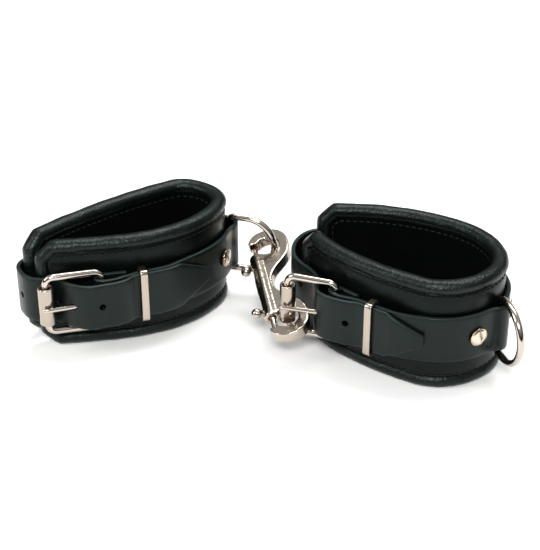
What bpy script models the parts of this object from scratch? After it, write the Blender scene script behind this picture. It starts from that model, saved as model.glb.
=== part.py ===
"""Pair of padded leather wrist cuffs, joined by a double-ended bolt snap. Lengths are in mm until mesh()."""

import math

import bmesh
import bpy
from mathutils import Matrix, Vector

# Band: padded leather, standing on its lower edge.
BAND_H = 60.0  # height of the band
WALL = 7.6  # thickness of the padded wall
LINING_T = 1.4
PANEL_T = 1.6
GAP = 0.3  # clearance between pieces
CAP_ROOM = 2.1  # between foam and panel, for the rivet caps
FOAM_T = WALL - LINING_T - GAP - CAP_ROOM - PANEL_T  # foam fills what is left
ROLL_W = 8.2  # rolled edge, across the wall
ROLL_H = 7.2  # rolled edge, up the wall
CORNER_R = 6.0  # rounded corners of the band's ends

# Strap and its hardware, made for 25 mm strap.
STRAP_W = 25.0
STRAP_T = 2.2
STRAP_Z = BAND_H / 2  # height of the strap's middle
WIRE_R = 1.8  # wire of buckle frame and D-ring
FRAME_H = 31.0  # buckle frame, between wire middles
FRAME_BEND = 4.0
ROLLER_R = 4.0
ROLLER_BORE = 2.3
ROLLER_L = 21.0
PRONG_R = 1.2
KEEPER_T = 1.6
KEEPER_W = 3.8
RING_H = 30.6  # D-ring, between wire middles
RING_STEM = 7.3  # straight part of the D-ring's arms
RIVET_R = 4.8
RIVET_POST_R = 1.4
RIVET_SPREAD = 13.0  # from the D-ring's bar to each rivet
HOLE_R = 1.6
HOLE_FIRST = 40.5  # tail tip to first hole
HOLE_PITCH = 22.5
TIP_TAPER = 19.0
TIP_W = 6.0

# Snap: two hooks on one barrel, each closed by a sprung bolt.
SNAP_PITCH = 57.0  # between the eyes' middles
SNAP_T = 6.4  # thickness of the hooks
EYE_R = 6.3
BARREL_R = 4.2
BARREL_X = -7.0  # barrel's axis, to the side of the eyes' middles
BARREL_END = 4.6  # from an eye's middle to the barrel's mouth
GATE_END = -4.5  # the hook's tip
BOLT_R = 1.6
BORE_R = 2.0
BORE_END = 27.4
BOLT_IN = 15.0
BOLT_OUT = -5.4
BOLT_TRAVEL = 8.5
KNOB_Y = 11.8
KNOB_R = 2.7
KNOB_REACH = 7.2  # from the barrel's axis to the knob's middle
SPRING_R = 1.3
SPRING_WIRE_R = 0.3
SPRING_TURNS = 4.5
SNAP_MIDDLE = (8.8, -27.0, STRAP_Z - 10.5)  # middle of the eye on the right cuff's buckle
SNAP_AXIS = (0.171, -0.973, -0.154)
SNAP_ROLL = 16.0  # degrees, hooks' side up

STEP = 4.0  # spacing of stations along a bend

# Plan of each cuff, in its own frame: round end at +u, tip at -u, near side at -v.
CUFFS = {
    "left": {
        "at": (-53.2, 21.8),
        "turn": 29.9,
        "round": 28.6,
        "near": {"wide": (-12.0, -22.6), "reach": (20.5, 28.0), "slope": -0.35, "end": (-75.0, -3.7)},
        "far": {"wide": (13.0, 20.6), "reach": (31.0, 32.0), "slope": 0.33, "end": (-77.0, 4.8)},
        "heel": (-48.1, -23.4),
        "roller": (-75.0, -15.6),
        "keeper": 51.2,
        "ring": 113.0,
        "ring_apex": (2.2, 27.8),
        "tail_end": 86.0,
        "lift": 0.0,
        "loop": [
            (-74.6, 12.3), (-78.0, 10.2), (-80.2, 6.4), (-80.7, 1.6), (-80.2, -3.2), (-77.9, -7.4),
            (-74.4, -9.8), (-70.6, -11.8), (-67.4, -15.4), (-64.8, -20.6), (-61.2, -25.8),
            (-56.1, -29.2), (-50.1, -30.5),
        ],
    },
    "right": {
        "at": (82.1, -23.8),
        "turn": -30.7,
        "round": 30.9,
        "near": {"wide": (4.0, -30.1), "reach": (33.0, 24.0), "slope": -0.62, "end": (-66.6, -12.0)},
        "far": {"wide": (-6.0, 29.8), "reach": (28.0, 24.0), "slope": 0.62, "end": (-72.4, 8.6)},
        "heel": (-37.4, -34.3),
        "roller": (-61.9, -39.4),
        "keeper": 55.0,
        "ring": 114.5,
        "ring_apex": (118.4, -67.6),
        "tail_end": 79.5,
        "lift": 0.9,
        "loop": [
            (-72.6, 15.2), (-76.2, 11.6), (-78.4, 6.4), (-78.6, 0.4), (-77.4, -5.8), (-74.6, -11.8),
            (-70.8, -16.6), (-65.4, -20.2), (-58.8, -23.0), (-52.4, -27.4), (-48.4, -34.8), (-44.4, -40.2), (-38.4, -41.9),
        ],
    },
}

OUTER = WALL / 2
RIDE = OUTER + GAP + STRAP_T / 2 + 0.1  # strap's middle where it lies on the band
BAR_N = OUTER + GAP + WIRE_R  # D-ring's bar, under the strap
OVER_BAR = BAR_N + WIRE_R + GAP + STRAP_T / 2 + 0.2  # strap's middle over that bar
LAY = OUTER + 2 * GAP + KEEPER_T + STRAP_T / 2  # strap's middle over the keeper's back
STACK = STRAP_T + 0.35  # one layer of strap on another
FOLD_R = WIRE_R + GAP + STRAP_T / 2


# Materials ---------------------------------------------------------------


def material(name, colour, metallic, roughness):
    made = bpy.data.materials.new(name)
    made.use_nodes = True
    shader = made.node_tree.nodes["Principled BSDF"]
    shader.inputs["Base Color"].default_value = (*colour, 1.0)
    shader.inputs["Metallic"].default_value = metallic
    shader.inputs["Roughness"].default_value = roughness
    return made


for thing in list(bpy.data.objects):
    bpy.data.objects.remove(thing)

LEATHER = material("black_leather", (0.012, 0.016, 0.015), 0.0, 0.42)
SOFT_LEATHER = material("soft_black_leather", (0.014, 0.018, 0.017), 0.0, 0.5)
CLOTH = material("black_lining", (0.006, 0.006, 0.007), 0.0, 0.9)
FOAM = material("grey_foam", (0.12, 0.12, 0.12), 0.0, 0.95)
NICKEL = material("nickel_plate", (0.72, 0.68, 0.62), 1.0, 0.18)
STEEL = material("spring_steel", (0.45, 0.45, 0.46), 1.0, 0.3)


# Shapes ------------------------------------------------------------------

PARTS = []


def mesh(name, points, faces, finish, origin=(0, 0, 0)):
    """An object from points in mm. Its origin sits at `origin`, and its faces are turned outward."""
    data = bpy.data.meshes.new(name)
    start = Vector(origin)
    data.from_pydata([(Vector(p) - start) * 0.001 for p in points], [], faces)
    shape = bmesh.new()
    shape.from_mesh(data)
    bmesh.ops.recalc_face_normals(shape, faces=shape.faces)
    shape.to_mesh(data)
    shape.free()
    if finish:
        data.materials.append(finish)
    made = bpy.data.objects.new(name, data)
    made.location = start * 0.001
    bpy.context.scene.collection.objects.link(made)
    if finish:
        PARTS.append(made)
    else:
        made.hide_render = True
        made.display_type = "WIRE"
    return made


def loft(name, rings, finish, origin=(0, 0, 0), closed=False):
    """A skin over rings of points, capped at both ends unless it closes on itself."""
    count = len(rings[0])
    points = [p for ring in rings for p in ring]
    faces = []
    for i in range(len(rings) - (not closed)):
        a = i * count
        b = (i + 1) % len(rings) * count
        faces += [(a + j, a + (j + 1) % count, b + (j + 1) % count, b + j) for j in range(count)]
    if not closed:
        faces.append(tuple(range(count))[::-1])
        faces.append(tuple(range(len(points) - count, len(points))))
    return mesh(name, points, faces, finish, origin)


def disc(middle, across, up, radius, sides, turn=0.5):
    """A ring of points round `middle`."""
    turns = [2 * math.pi * (k + turn) / sides for k in range(sides)]
    return [middle + across * radius * math.cos(t) + up * radius * math.sin(t) for t in turns]


def turned(name, base, axis, profile, sides, finish, origin=(0, 0, 0), closed=False):
    """A body of revolution: profile is (distance along axis, radius)."""
    axis = axis.normalized()
    across = axis.orthogonal().normalized()
    up = axis.cross(across)
    rings = [disc(base + axis * d, across, up, r, sides) for d, r in profile]
    return loft(name, rings, finish, origin, closed)


def tube(name, path, radius, sides, finish, origin=(0, 0, 0), closed=False, hint=Vector((0, 0, 1))):
    """A round wire along a path."""
    rings = []
    count = len(path)
    up = hint
    for i, p in enumerate(path):
        after = path[(i + 1) % count] if closed or i < count - 1 else p
        before = path[i - 1] if closed or i > 0 else p
        way = (after - before).normalized()
        up = (up - way * up.dot(way)).normalized()
        rings.append(disc(p, up, way.cross(up), radius, sides))
    return loft(name, rings, finish, origin, closed)


def cut(target, cutter, operation="DIFFERENCE"):
    step = target.modifiers.new(cutter.name, "BOOLEAN")
    step.operation = operation
    step.object = cutter
    step.solver = "EXACT"


def arc(middle, first, second, start, end, steps):
    """Points on a circle's arc, from `start` to `end` degrees, in the plane of two vectors."""
    turns = [math.radians(start + (end - start) * k / steps) for k in range(steps + 1)]
    return [middle + first * math.cos(t) + second * math.sin(t) for t in turns]


def bezier(a, b, c, d, steps):
    out = []
    for k in range(steps + 1):
        t = k / steps
        r = 1 - t
        out.append(a * r**3 + b * 3 * r * r * t + c * 3 * r * t * t + d * t**3)
    return out


def flowing(points, step=STEP):
    """A smooth line through all the points, with a station about every `step`."""
    ends = [points[0] * 2 - points[1]] + points + [points[-1] * 2 - points[-2]]
    out = []
    for p0, p1, p2, p3 in zip(ends, ends[1:], ends[2:], ends[3:]):
        span = (p2 - p1).length
        before = max((p1 - p0).length, 1e-6)
        after = max((p3 - p2).length, 1e-6)
        m1 = ((p1 - p0) / before + (p2 - p1) / span) * span / 2
        m2 = ((p2 - p1) / span + (p3 - p2) / after) * span / 2
        pieces = max(1, round(span / step))
        for k in range(pieces):
            t = k / pieces
            out.append(
                p1 * (2 * t**3 - 3 * t * t + 1)
                + m1 * (t**3 - 2 * t * t + t)
                + p2 * (3 * t * t - 2 * t**3)
                + m2 * (t**3 - t * t)
            )
    return out + [points[-1]]


# One cuff ----------------------------------------------------------------


class Plan:
    """The middle line of a cuff's wall, seen from above."""

    def __init__(self, cuff):
        self.cuff = cuff
        turn = math.radians(cuff["turn"])
        self.place = Matrix.Translation((*cuff["at"], 0)) @ Matrix.Rotation(turn, 4, "Z")
        near = self.half(cuff["near"])
        far = self.half(cuff["far"])
        self.line = near[::-1] + far[1:]
        self.length = [0.0]
        for a, b in zip(self.line, self.line[1:]):
            self.length.append(self.length[-1] + (b - a).length)
        self.total = self.length[-1]

    def half(self, side):
        """From the round end to one end of the band."""
        wide = Vector(side["wide"])
        end = Vector(side["end"])
        top = Vector((self.cuff["round"], 0))
        pull = Vector((1, side["slope"])).normalized() * side["reach"][1]
        swell = Vector((0.5 * (top.x - wide.x), 0))
        first = bezier(top, top + Vector((0, 0.56 * wide.y)), wide + swell, wide, 40)
        second = bezier(wide, wide - Vector((side["reach"][0], 0)), end + pull, end, 40)
        return first + second[1:]

    def frame(self, s):
        """Point, direction and outward normal at s along the line, in the cuff's own frame."""
        s = min(max(s, 0.0), self.total)
        i = 1
        while i < len(self.length) - 1 and self.length[i] < s:
            i += 1
        share = (s - self.length[i - 1]) / (self.length[i] - self.length[i - 1])
        point = self.line[i - 1].lerp(self.line[i], share)
        a = self.line[max(i - 3, 0)]
        b = self.line[min(i + 2, len(self.line) - 1)]
        way = (b - a).normalized()
        return point, way, Vector((way.y, -way.x))

    def on(self, s, n):
        point, _, out = self.frame(s)
        return point + out * n

    def nearest(self, p):
        best = min(range(len(self.line)), key=lambda i: (self.line[i] - p).length)
        return self.length[best]

    def world(self, p, z):
        return self.place @ Vector((p[0], p[1], z))

    def at(self, s, n, z):
        return self.world(self.on(s, n), z)

    def out(self, s):
        _, way, normal = self.frame(s)
        turn = self.place.to_3x3()
        return turn @ Vector((*way, 0)), turn @ Vector((*normal, 0))


def stations(start, end, step=STEP):
    count = max(1, round((end - start) / step))
    return [start + (end - start) * k / count for k in range(count + 1)]


def sheet(name, plan, inner, outer, finish):
    """One layer of the wall, inside the rolled edge: its corners follow the roll's."""
    inset = ROLL_H + GAP
    bend = CORNER_R - ROLL_H / 2 - GAP
    turns = [math.radians(a) for a in (0, 30, 60)]
    start = [(inset + bend * (1 - math.cos(t)), bend * (1 - math.sin(t))) for t in turns]
    middle = [(s, 0.0) for s in stations(inset + bend, plan.total - inset - bend)]
    end = [(plan.total - s, rise) for s, rise in start[::-1]]
    rings = []
    for s, rise in start + middle + end:
        low = inset + rise
        high = BAND_H - inset - rise
        corners = ((inner, low), (outer, low), (outer, high), (inner, high))
        rings.append([plan.at(s, n, z) for n, z in corners])
    return loft(name, rings, finish)


def rolled_edge(name, plan, finish):
    """Soft leather rolled round all four edges of the band, flat underneath."""
    low = ROLL_H / 2
    high = BAND_H - low
    first = low + CORNER_R
    last = plan.total - low - CORNER_R
    across = Vector((1, 0))
    upward = Vector((0, 1))
    path = [Vector((s, low)) for s in stations(first, last)]
    path += arc(Vector((last, low + CORNER_R)), across * CORNER_R, upward * CORNER_R, -72, 0, 4)
    path += [Vector((plan.total - low, BAND_H / 2))]
    path += arc(Vector((last, high - CORNER_R)), across * CORNER_R, upward * CORNER_R, 0, 72, 4)
    path += [Vector((s, high)) for s in stations(first, last)[::-1]]
    path += arc(Vector((first, high - CORNER_R)), across * CORNER_R, upward * CORNER_R, 108, 180, 4)
    path += [Vector((low, BAND_H / 2))]
    path += arc(Vector((first, low + CORNER_R)), across * CORNER_R, upward * CORNER_R, 180, 252, 4)
    sides = 12
    rings = []
    for i, p in enumerate(path):
        way = (path[(i + 1) % len(path)] - path[i - 1]).normalized()
        side = Vector((-way.y, way.x))
        ring = []
        for k in range(sides):
            t = 2 * math.pi * (k + 0.5) / sides
            lift = side * math.cos(t) * ROLL_H / 2 / math.cos(math.pi / sides)
            q = p + lift
            ring.append(plan.at(q.x, math.sin(t) * ROLL_W / 2, q.y))
        rings.append(ring)
    return loft(name, rings, finish, closed=True)


def strap_path(plan, cuff):
    """Middle line of the strap: folded end, band, loop round the tip, and tail."""
    heel = Vector(cuff["heel"])
    s_heel = plan.nearest(heel)
    _, way, out = plan.frame(s_heel)
    lay = LAY + cuff["lift"]
    ring = cuff["ring"]
    on = plan.on
    fold = [on(s_heel + 11, RIDE), on(s_heel + 8, RIDE), on(s_heel + 4, RIDE + 0.1)]
    fold += arc(heel, -out * FOLD_R, -way * FOLD_R, 0, 180, 6)
    fold += [on(s_heel + 5, 11.4), on(s_heel + 9, 9.8), on(s_heel + 13, max(8.6, lay + 0.3))]
    keeper = cuff["keeper"]
    main = [on(s, lay) for s in stations(s_heel + 17, keeper + 12)]
    main += [on(s, RIDE) for s in stations(keeper + 24, ring - 8)]
    main += [on(ring + d, n) for d, n in ((-5, RIDE + 0.6), (-3.2, OVER_BAR - 1.8), (-1.6, OVER_BAR - 0.4), (0, OVER_BAR))]
    main += [on(ring + d, n) for d, n in ((1.6, OVER_BAR - 0.4), (3.2, OVER_BAR - 1.8), (5, RIDE + 0.6), (8, RIDE))]
    main += [on(s, RIDE) for s in stations(ring + 12, plan.total - 8)]
    loop = [Vector(p) for p in cuff["loop"]]
    tail = [on(s_heel + d, n) for d, n in ((6, 15.0), (10, 13.4), (14, lay + STACK + 0.7))]
    tail += [on(s, lay + STACK) for s in stations(s_heel + 18, keeper + 12)]
    tail += [on(s, RIDE + STACK + 0.1) for s in stations(keeper + 24, cuff["tail_end"])]
    return flowing(fold + main + loop + tail)


def strap(name, plan, cuff, path, finish):
    lengths = [0.0]
    for a, b in zip(path, path[1:]):
        lengths.append(lengths[-1] + (b - a).length)
    total = lengths[-1]
    rings = []
    for i, p in enumerate(path):
        way = (path[min(i + 1, len(path) - 1)] - path[max(i - 1, 0)]).normalized()
        out = Vector((way.y, -way.x)) * STRAP_T / 2
        share = min(1.0, (total - lengths[i]) / TIP_TAPER)
        half = (TIP_W + (STRAP_W - TIP_W) * share) / 2
        low, high = STRAP_Z - half, STRAP_Z + half
        corners = ((p - out, low), (p + out, low), (p + out, high), (p - out, high))
        rings.append([plan.world(q, z) for q, z in corners])
    made = loft(name, rings, finish)
    for k in range(5):
        wanted = total - HOLE_FIRST - k * HOLE_PITCH
        i = min(range(1, len(path)), key=lambda j: abs(lengths[j] - wanted))
        share = (wanted - lengths[i]) / STEP
        way = (path[min(i + 1, len(path) - 1)] - path[i - 1]).normalized()
        middle = path[i] + way * share * STEP
        axis = (plan.place.to_3x3() @ Vector((way.y, -way.x, 0))).normalized()
        depth = STRAP_T / 2 + 0.15
        base = plan.world(middle, STRAP_Z) - axis * depth
        cut(made, turned(f"{name}_hole_{k}", base, axis, [(0, HOLE_R), (2 * depth, HOLE_R)], 12, None))
    return made


def wire_frame(name, first, second, finish, origin):
    """A buckle frame: a rectangle of wire between two upright bars."""
    way = (second - first).normalized()
    up = Vector((0, 0, 1))
    r = FRAME_BEND
    half = FRAME_H / 2
    path = []
    for middle, a, b in (
        (first + way * r + up * (half - r), up * r, -way * r),
        (first + way * r - up * (half - r), -way * r, -up * r),
        (second - way * r - up * (half - r), -up * r, way * r),
        (second - way * r + up * (half - r), way * r, up * r),
    ):
        path += arc(middle, a, b, 0, 90, 4)
    return tube(name, path, WIRE_R, 10, finish, origin, closed=True, hint=way.cross(up))


def prong(name, plan, heel, roller, finish, origin):
    """Loops round the heel bar and rests its tip over the roller."""
    way = (roller - heel).normalized()
    out = Vector((way.y, -way.x))
    if out.y > 0:
        out = -out
    loop_r = WIRE_R + GAP + PRONG_R
    ring = arc(heel, out * loop_r, way * loop_r, -250, -20, 10)
    rest = roller + out * (ROLLER_R + GAP + PRONG_R)
    end = rest + way * 2.2 - out * 0.3
    first = heel + out * loop_r + way * 1.2
    flat = ring + [first + (rest - first) * k / 4 for k in range(5)] + [end]
    path = [plan.world(p, STRAP_Z) for p in flat]
    return tube(name, path, PRONG_R, 10, finish, origin), first, rest


def build_cuff(side, cuff):
    plan = Plan(cuff)
    turn = plan.place.to_3x3()
    foot = plan.world((0, 0), 0)
    panel_in = OUTER - PANEL_T
    foam_out = -OUTER + LINING_T + GAP + FOAM_T
    panel = sheet(f"{side}_outer_panel", plan, panel_in, OUTER, LEATHER)
    sheet(f"{side}_foam_pad", plan, -OUTER + LINING_T + GAP, foam_out, FOAM)
    sheet(f"{side}_lining", plan, -OUTER, -OUTER + LINING_T, CLOTH)
    rolled_edge(f"{side}_edge_binding", plan, SOFT_LEATHER)

    heel = Vector(cuff["heel"])
    roller = Vector(cuff["roller"])
    heel_at = plan.world(heel, STRAP_Z)
    roller_at = plan.world(roller, STRAP_Z)
    path = strap_path(plan, cuff)
    band = strap(f"{side}_strap", plan, cuff, path, LEATHER)

    wire_frame(f"{side}_buckle_frame", heel_at, roller_at, NICKEL, heel_at)
    tongue, first, rest = prong(f"{side}_buckle_prong", plan, heel, roller, NICKEL, heel_at)
    half = ROLLER_L / 2
    up = Vector((0, 0, 1))
    skin = [(-half, ROLLER_BORE), (-half, ROLLER_R), (half, ROLLER_R), (half, ROLLER_BORE)]
    turned(f"{side}_buckle_roller", roller_at, up, skin, 20, NICKEL, roller_at, closed=True)

    # The prong's slot in the fold, and the hole that it stretches in the tail.
    s_heel = plan.nearest(heel)
    way, out = plan.out(s_heel)
    reach = FOLD_R + STRAP_T / 2 + 0.3
    rings = []
    for d in (-reach, reach + 1.0):
        base = heel_at + way * d
        rings.append([base + out * n + up * z for n, z in ((-5, -2), (5, -2), (5, 2), (-5, 2))])
    cut(band, loft(f"{side}_fold_slot", rings, None))
    along = plan.world(rest, STRAP_Z) - plan.world(first, STRAP_Z)
    start = plan.world(first, STRAP_Z) + along * 0.04
    slot = [(0, PRONG_R + 0.5), (along.length * 0.8, PRONG_R + 0.5)]
    cut(band, turned(f"{side}_prong_hole", start, along, slot, 12, None))

    # Keeper: a flat strip bent round strap and tail.
    s = cuff["keeper"]
    way, out = plan.out(s)
    lay = LAY + cuff["lift"]
    back = lay - STRAP_T / 2 - GAP - KEEPER_T / 2
    front = lay + STACK + STRAP_T / 2 + 0.4 + KEEPER_T / 2
    half = STRAP_W / 2 + 0.5 + KEEPER_T / 2
    bend = 1.3
    middle = plan.at(s, (front + back) / 2, STRAP_Z)
    deep = (front - back) / 2
    rings = []
    for across, rise, begin in ((1, 1, 0), (-1, 1, 90), (-1, -1, 180), (1, -1, 270)):
        corner = middle + out * across * (deep - bend) + up * rise * (half - bend)
        for k in range(4):
            t = math.radians(begin + 30 * k)
            spoke = out * math.cos(t) + up * math.sin(t)
            inner = corner + spoke * (bend - KEEPER_T / 2)
            outer = corner + spoke * (bend + KEEPER_T / 2)
            edge = way * KEEPER_W / 2
            rings.append([inner - edge, outer - edge, outer + edge, inner + edge])
    loft(f"{side}_keeper", rings, NICKEL, middle, closed=True)

    # D-ring: its bar lies under the strap.
    bar = plan.at(cuff["ring"], BAR_N, STRAP_Z)
    apex = Vector((*cuff["ring_apex"], STRAP_Z))
    way = (apex - bar).normalized()
    half = RING_H / 2
    stem = (apex - bar).length - half
    bow = arc(bar + way * stem, -up * half, way * half, 0, 180, 14)
    bend = 2.6
    path = arc(bar + way * bend + up * (half - bend), up * bend, -way * bend, 0, 90, 3)
    path += arc(bar + way * bend - up * (half - bend), -way * bend, -up * bend, 0, 90, 3)
    path += bow
    tube(f"{side}_d_ring", path, WIRE_R, 10, NICKEL, bar, closed=True, hint=way.cross(up))

    # Rivets on both sides of the D-ring, with their caps inside the padding.
    for place, s in (("front", cuff["ring"] - RIVET_SPREAD), ("rear", cuff["ring"] + RIVET_SPREAD)):
        _, out = plan.out(s)
        foot_n = foam_out + 0.75
        base = plan.at(s, foot_n + 0.1, STRAP_Z)
        head = RIDE + STRAP_T / 2 + 0.5 - foot_n
        post = [(0, RIVET_POST_R), (head, RIVET_POST_R), (head, RIVET_R), (head + 0.5, RIVET_R)]
        post += [(head + 0.9, RIVET_R * 0.86), (head + 1.25, RIVET_R * 0.45)]
        turned(f"{side}_{place}_rivet", base, out, post, 18, NICKEL, base)
        base = plan.at(s, foot_n - 0.1, STRAP_Z)
        cap = [(0, RIVET_POST_R + 0.4), (0, 3.6), (0.8, 3.6), (0.8, RIVET_POST_R + 0.4)]
        turned(f"{side}_{place}_rivet_cap", base, out, cap, 18, NICKEL, base, closed=True)
        drill = plan.at(s, foot_n, STRAP_Z)
        bore = [(0.6, RIVET_POST_R + 0.35), (head + 0.3, RIVET_POST_R + 0.35)]
        cut(band, turned(f"{side}_{place}_strap_bore", drill, out, bore, 12, None))
        cut(panel, turned(f"{side}_{place}_panel_bore", drill, out, bore, 12, None))
    return plan


# Snap --------------------------------------------------------------------


def snap_frame():
    low = Vector(SNAP_MIDDLE)
    along = Vector(SNAP_AXIS).normalized()
    level = Vector((-along.y, along.x, 0)).normalized()
    rise = along.cross(level)
    if rise.z < 0:
        rise = -rise
    roll = math.radians(SNAP_ROLL)
    side = level * math.cos(roll) + rise * math.sin(roll)
    face = rise * math.cos(roll) - level * math.sin(roll)
    return low - along * SNAP_PITCH, side, along, face


def build_snap():
    eye, side, along, face = snap_frame()

    def at(x, y, z=0.0):
        return eye + side * x + along * y + face * z

    middle = at(0, SNAP_PITCH / 2)
    hook = [
        (-9.6, -1.0), (-9.5, -6.0), (-6.6, -10.6), (-0.4, -12.7), (6.2, -11.4), (10.4, -6.4),
        (11.6, 1.0), (10.2, 8.4), (6.0, 14.0), (1.6, 18.4), (-1.4, 23.6), (-2.0, SNAP_PITCH / 2),
    ]
    smooth = flowing([Vector(p) for p in hook], 2.2)
    outline = smooth + [Vector((p.x, SNAP_PITCH - p.y)) for p in smooth[-2::-1]]
    outline += [Vector((BARREL_X - 1.0, SNAP_PITCH - 4.0)), Vector((BARREL_X - 1.0, 4.0))]
    rings = [[at(p.x, p.y, z) for p in outline] for z in (-SNAP_T / 2, SNAP_T / 2)]
    body = loft("snap_body", rings, NICKEL, middle)
    ends = (BARREL_END, SNAP_PITCH - BARREL_END)
    shell = [(ends[0], BARREL_R - 0.5), (ends[0] + 0.5, BARREL_R)]
    shell += [(ends[1] - 0.5, BARREL_R), (ends[1], BARREL_R - 0.5)]
    cut(body, turned("snap_barrel", at(BARREL_X, 0), along, shell, 24, None), "UNION")
    for name, y, way in (("left", 0.0, 1.0), ("right", SNAP_PITCH, -1.0)):
        go = along * way
        eye_at = at(0, y)
        axis = at(BARREL_X, y)
        bore = [(-5.0, EYE_R), (5.0, EYE_R)]
        cut(body, turned(f"snap_{name}_eye", eye_at, face, bore, 28, None))
        rings = []
        for d in (GATE_END, BARREL_END):
            base = eye_at + go * d
            corners = ((-13, -5), (-3.4, -5), (-3.4, 5), (-13, 5))
            rings.append([base + side * x + face * z for x, z in corners])
        cut(body, loft(f"snap_{name}_gate", rings, None))
        bore = [(BOLT_OUT - 0.4, BORE_R), (BORE_END, BORE_R)]
        cut(body, turned(f"snap_{name}_bore", axis, go, bore, 16, None))
        rings = []
        for d in (KNOB_Y - 1.4, KNOB_Y + BOLT_TRAVEL + 1.4):
            base = axis + go * d
            corners = ((-6, -1.25), (0, -1.25), (0, 1.25), (-6, 1.25))
            rings.append([base + side * x + face * z for x, z in corners])
        cut(body, loft(f"snap_{name}_slot", rings, None))
        bolt = [(BOLT_OUT, BOLT_R - 0.4), (BOLT_OUT + 0.4, BOLT_R), (BOLT_IN, BOLT_R)]
        turned(f"snap_{name}_bolt", axis, go, bolt, 16, NICKEL, axis)
        knob_at = axis + go * KNOB_Y
        stem = [(BOLT_R + 0.1, 0.95), (KNOB_REACH - KNOB_R * 0.93, 0.95)]
        for degrees in (-55, -28, 0, 28, 55, 78):
            t = math.radians(degrees)
            stem.append((KNOB_REACH + KNOB_R * math.sin(t), KNOB_R * math.cos(t)))
        turned(f"snap_{name}_knob", knob_at, -side, stem, 14, NICKEL, knob_at)
        coil = []
        room = BORE_END - BOLT_IN - 0.6 - 2 * SPRING_WIRE_R
        steps = round(SPRING_TURNS * 10)
        for k in range(steps + 1):
            t = 2 * math.pi * k / 10
            spoke = side * math.cos(t) + face * math.sin(t)
            lift = BOLT_IN + 0.3 + SPRING_WIRE_R + room * k / steps
            coil.append(axis + go * lift + spoke * SPRING_R)
        tube(f"snap_{name}_spring", coil, SPRING_WIRE_R, 6, STEEL, axis, hint=side)


PLANS = {side: build_cuff(side, cuff) for side, cuff in CUFFS.items()}
build_snap()

# The origin is the middle of the object's footprint, on the floor.
bpy.context.view_layer.update()
graph = bpy.context.evaluated_depsgraph_get()
corners = []
for part in PARTS:
    solid = part.evaluated_get(graph)
    corners += [solid.matrix_world @ Vector(c) for c in solid.bound_box]
low = Vector([min(c[i] for c in corners) for i in range(3)])
high = Vector([max(c[i] for c in corners) for i in range(3)])
shift = Vector((-(low.x + high.x) / 2, -(low.y + high.y) / 2, -low.z))
for thing in bpy.data.objects:
    thing.location += shift
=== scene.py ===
# %% [markdown]
# # A pair of padded leather wrist cuffs, joined by a bolt snap
# Each cuff is a padded leather band that stands on its rolled edge. A 25 mm strap runs round it, through a
# roller buckle and a metal keeper, and holds a D-ring under two rivets. A double-ended bolt snap hooks the
# left cuff's D-ring to the right cuff's buckle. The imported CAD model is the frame: it fixes every place and
# every joint. This script makes the pieces that are seen, round that frame. Lengths are in mm until `skin`.

# %% Load the frame
import math

import bmesh
import bpy
from mathutils import Matrix, Vector, noise
from mathutils.bvhtree import BVHTree


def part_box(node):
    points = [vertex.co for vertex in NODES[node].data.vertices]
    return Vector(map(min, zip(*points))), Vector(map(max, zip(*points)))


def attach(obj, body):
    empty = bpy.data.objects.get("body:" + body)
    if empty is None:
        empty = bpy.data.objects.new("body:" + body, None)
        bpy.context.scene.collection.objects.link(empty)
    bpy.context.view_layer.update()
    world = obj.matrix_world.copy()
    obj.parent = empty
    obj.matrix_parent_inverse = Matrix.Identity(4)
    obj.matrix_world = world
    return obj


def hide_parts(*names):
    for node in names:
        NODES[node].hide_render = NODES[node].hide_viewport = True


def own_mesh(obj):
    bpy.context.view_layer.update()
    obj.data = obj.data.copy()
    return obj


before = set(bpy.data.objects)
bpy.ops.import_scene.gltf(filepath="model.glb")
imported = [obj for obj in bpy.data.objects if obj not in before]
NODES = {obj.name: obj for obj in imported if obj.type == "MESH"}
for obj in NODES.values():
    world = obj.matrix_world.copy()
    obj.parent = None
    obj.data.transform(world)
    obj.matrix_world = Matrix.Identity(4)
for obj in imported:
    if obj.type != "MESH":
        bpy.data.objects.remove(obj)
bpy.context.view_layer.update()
MM = 0.001
UP = Vector((0, 0, 1))


def box_middle(node):
    low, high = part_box(node)
    return (low + high) / 2 / MM


# %% [markdown]
# ## Sizes
# These are the sizes that the CAD model was made to. The hardware is the family made for 25 mm strap.
# Repeating them here lets each piece be remade with rounder edges and finer steps in the same place.

# %% Sizes in mm
BAND_H, WALL = 60.0, 7.6
ROLL_W, ROLL_H, CORNER_R = 8.2, 7.2, 6.0
STRAP_W, STRAP_T, STRAP_Z = 25.0, 2.2, 30.0
WIRE_R, FRAME_H, FRAME_BEND = 1.8, 31.0, 4.0
ROLLER_R, ROLLER_BORE, ROLLER_L = 4.0, 2.3, 21.0
PRONG_R = 1.2
KEEPER_T, KEEPER_W = 1.6, 3.8
RING_H, RING_BEND = 30.6, 2.6
RIVET_R, RIVET_SPREAD = 4.8, 13.0
HOLE_R, HOLE_FIRST, HOLE_PITCH, HOLES = 1.6, 40.5, 22.5, 5
TIP_TAPER, TIP_W = 19.0, 6.0
GAP = 0.3
OUTER = WALL / 2
RIDE = OUTER + GAP + STRAP_T / 2 + 0.1  # strap's middle where it lies on the band
LAY = OUTER + 2 * GAP + KEEPER_T + STRAP_T / 2  # strap's middle over the keeper's back
STACK = STRAP_T + 0.35  # one layer of strap on another
FOLD_R = WIRE_R + GAP + STRAP_T / 2
BAR_N = OUTER + GAP + WIRE_R

# %% [markdown]
# ## The plan of a cuff
# Seen from above, the band is a closed drop: round at the D-ring, with its two ends side by side at the
# buckle. Four Bezier curves give its middle line. A place on the wall is then `s` mm along that line and
# `n` mm out from it, so every strap, seam and stitch can be laid along the band with two numbers.

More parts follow.
